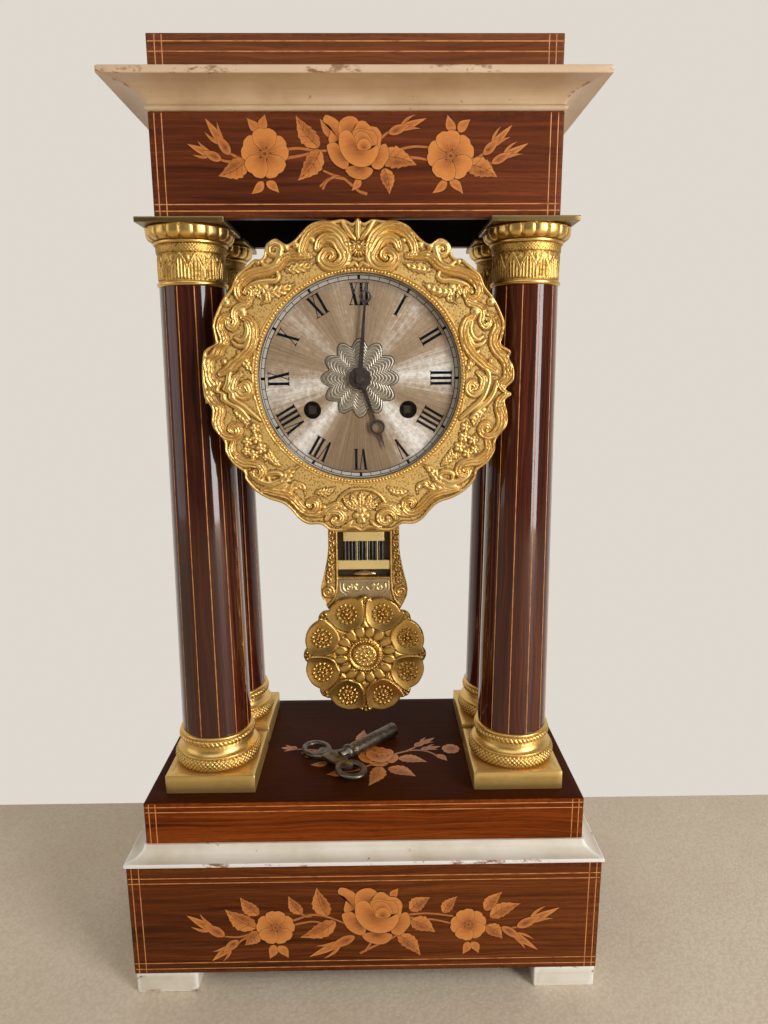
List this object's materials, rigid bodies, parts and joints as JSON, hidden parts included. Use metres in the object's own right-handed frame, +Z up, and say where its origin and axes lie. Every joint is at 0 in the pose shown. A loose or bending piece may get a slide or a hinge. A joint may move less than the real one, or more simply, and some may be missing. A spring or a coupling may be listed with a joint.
{
  "type": "portico mantel clock",
  "caption": "Portico mantel clock: veneered base and entablature on turned columns, ornate gilt bezel, hinged glass, striking movement, gilt pendulum and loose winding key.",
  "frame": {"origin": "middle of the clock's footprint, on the plane under the feet", "axes": "+Z up, -Y out of the dial towards the viewer, +X to the viewer's right"},
  "size_m": [0.252, 0.1366, 0.48],
  "materials": {
    "painted_moulding": "worn cream paint",
    "rosewood_veneer": "polished veneer with pale floral inlay",
    "column_rosewood": "gloss polish with pale stringing lines",
    "ebonised_wood": "satin black",
    "gilt_bronze": "chased and gilded",
    "plain_brass": "satin",
    "movement_brass": "brushed",
    "bell_bronze": "satin",
    "silvered_dial": "silvered, engine turned",
    "blued_steel": "dark blued",
    "steel": "brushed",
    "clear_glass": "clear",
    "key_iron": "dark, worn"
  },
  "bodies": {
    "case": {"feet": "painted_moulding", "base_moulding": "painted_moulding", "cornice_moulding": "painted_moulding", "base_box": "rosewood_veneer", "platform": "rosewood_veneer", "frieze_box": "rosewood_veneer", "attic_block": "rosewood_veneer", "front_left_column_shaft": "column_rosewood", "front_right_column_shaft": "column_rosewood", "rear_left_column_shaft": "column_rosewood", "rear_right_column_shaft": "column_rosewood", "soffit_board": "ebonised_wood", "drum_hanger": "ebonised_wood", "column_bases": "gilt_bronze", "column_capitals": "gilt_bronze", "column_plinths": "plain_brass", "capital_abaci": "plain_brass", "dial_ring": "plain_brass", "rear_ring": "plain_brass", "movement_drum": "plain_brass", "front_plate": "movement_brass", "back_plate": "movement_brass", "plate_pillars": "movement_brass", "suspension_cock": "movement_brass", "bell": "bell_bronze", "dial": "silvered_dial", "column_tie_bolts": "steel", "hanger_bolts": "steel", "rear_hinge_pin": "steel", "bezel_hinge_pin": "steel", "bell_stand": "steel"},
    "bezel_door": {"bezel": "gilt_bronze", "dial_glass": "clear_glass"},
    "rear_cover": {"rear_door": "plain_brass"},
    "escape_body": {"escape_wheel": "movement_brass"},
    "third_body": {"third_wheel": "movement_brass"},
    "minute_body": {"centre_wheel": "movement_brass", "minute_hand": "blued_steel", "hand_collet": "blued_steel"},
    "hour_body": {"hour_wheel": "movement_brass", "hour_hand": "blued_steel"},
    "minute_work_body": {"minute_wheel": "movement_brass"},
    "second_body": {"second_wheel": "movement_brass"},
    "going_barrel_body": {"going_barrel": "movement_brass"},
    "going_winder": {"going_arbor": "steel"},
    "pendulum": {"pendulum_rod": "steel", "pendulum_frame": "gilt_bronze", "gridiron_grille": "plain_brass", "pendulum_bob": "gilt_bronze"},
    "rating_nut_body": {"rating_nut": "plain_brass"},
    "anchor_body": {"anchor": "steel"},
    "fly_body": {"strike_fly": "movement_brass"},
    "pin_body": {"pin_wheel": "movement_brass"},
    "strike_second_body": {"strike_second_wheel": "movement_brass", "count_wheel": "movement_brass"},
    "strike_barrel_body": {"strike_barrel": "movement_brass"},
    "strike_winder": {"strike_arbor": "steel"},
    "hammer_body": {"hammer": "steel"},
    "key": {"winding_key": "key_iron"}
  },
  "joints": [
    {"name": "bezel_hinge", "type": "hinge", "parent": "case", "child": "bezel_door", "pos_m": [-0.073, -0.0475, 0.328], "axis": [0, 0, -1], "range_deg": [0, 105]},
    {"name": "rear_door_hinge", "type": "hinge", "parent": "case", "child": "rear_cover", "pos_m": [0.059, 0.0375, 0.328], "axis": [0, 0, -1], "range_deg": [0, 110]},
    {"name": "escape_turn", "type": "hinge", "parent": "case", "child": "escape_body", "pos_m": [0, -0.018, 0.3558], "axis": [0, 1, 0], "continuous": true},
    {"name": "third_turn", "type": "hinge", "parent": "case", "child": "third_body", "pos_m": [-0.00091, -0.018, 0.34293], "axis": [0, 1, 0], "continuous": true},
    {"name": "minute_turn", "type": "hinge", "parent": "case", "child": "minute_body", "pos_m": [0, -0.018, 0.328], "axis": [0, 1, 0], "continuous": true},
    {"name": "hour_turn", "type": "hinge", "parent": "case", "child": "hour_body", "pos_m": [0, -0.041, 0.328], "axis": [0, 1, 0], "continuous": true},
    {"name": "minute_work_turn", "type": "hinge", "parent": "case", "child": "minute_work_body", "pos_m": [0, -0.039, 0.316], "axis": [0, 1, 0], "continuous": true},
    {"name": "second_turn", "type": "hinge", "parent": "case", "child": "second_body", "pos_m": [0.01548, -0.018, 0.33342], "axis": [0, 1, 0], "continuous": true},
    {"name": "going_barrel_turn", "type": "hinge", "parent": "case", "child": "going_barrel_body", "pos_m": [0.0234, -0.018, 0.3129], "axis": [0, 1, 0], "continuous": true},
    {"name": "going_winding", "type": "hinge", "parent": "case", "child": "going_winder", "pos_m": [0.0234, -0.018, 0.3129], "axis": [0, 1, 0], "continuous": true},
    {"name": "pendulum_swing", "type": "hinge", "parent": "case", "child": "pendulum", "pos_m": [0, 0.012, 0.36923], "axis": [0, 1, 0], "range_deg": [-3.5, 3.5]},
    {"name": "rating_nut_turn", "type": "hinge", "parent": "pendulum", "child": "rating_nut_body", "pos_m": [0, 0.012, 0.1503], "axis": [0, 0, 1], "continuous": true},
    {"name": "anchor_swing", "type": "hinge", "parent": "case", "child": "anchor_body", "pos_m": [0, -0.018, 0.36923], "axis": [0, 1, 0], "range_deg": [-3.5, 3.5]},
    {"name": "fly_turn", "type": "hinge", "parent": "case", "child": "fly_body", "pos_m": [-0.01668, -0.018, 0.35906], "axis": [0, 1, 0], "continuous": true},
    {"name": "pin_wheel_turn", "type": "hinge", "parent": "case", "child": "pin_body", "pos_m": [-0.02348, -0.018, 0.34728], "axis": [0, 1, 0], "continuous": true},
    {"name": "strike_second_turn", "type": "hinge", "parent": "case", "child": "strike_second_body", "pos_m": [-0.01548, -0.018, 0.33342], "axis": [0, 1, 0], "continuous": true},
    {"name": "strike_barrel_turn", "type": "hinge", "parent": "case", "child": "strike_barrel_body", "pos_m": [-0.0234, -0.018, 0.3129], "axis": [0, 1, 0], "continuous": true},
    {"name": "strike_winding", "type": "hinge", "parent": "case", "child": "strike_winder", "pos_m": [-0.0234, -0.018, 0.3129], "axis": [0, 1, 0], "continuous": true},
    {"name": "hammer_lift", "type": "hinge", "parent": "case", "child": "hammer_body", "pos_m": [-0.04, -0.01, 0.332], "axis": [0, 1, 0], "range_deg": [0, 15], "stiffness_Nm_per_rad": 0.02, "springref_deg": -8.59},
    {"name": "key_lift", "type": "slide", "parent": "case", "child": "key", "axis": [0, -0.9, 0.4359], "range_m": [0, 0.15]}
  ],
  "couplings": [
    {"joint": "third_turn", "follows": "escape_turn", "ratio": -0.10256},
    {"joint": "minute_turn", "follows": "escape_turn", "ratio": 0.010256},
    {"joint": "minute_work_turn", "follows": "escape_turn", "ratio": -0.0034188},
    {"joint": "hour_turn", "follows": "escape_turn", "ratio": 0.0008547},
    {"joint": "second_turn", "follows": "escape_turn", "ratio": -0.0014245},
    {"joint": "going_barrel_turn", "follows": "escape_turn", "ratio": 0.00022492},
    {"joint": "anchor_swing", "follows": "pendulum_swing", "ratio": 1},
    {"joint": "pin_wheel_turn", "follows": "fly_turn", "ratio": -0.13333},
    {"joint": "strike_second_turn", "follows": "fly_turn", "ratio": 0.014815},
    {"joint": "strike_barrel_turn", "follows": "fly_turn", "ratio": -0.0023392}
  ]
}
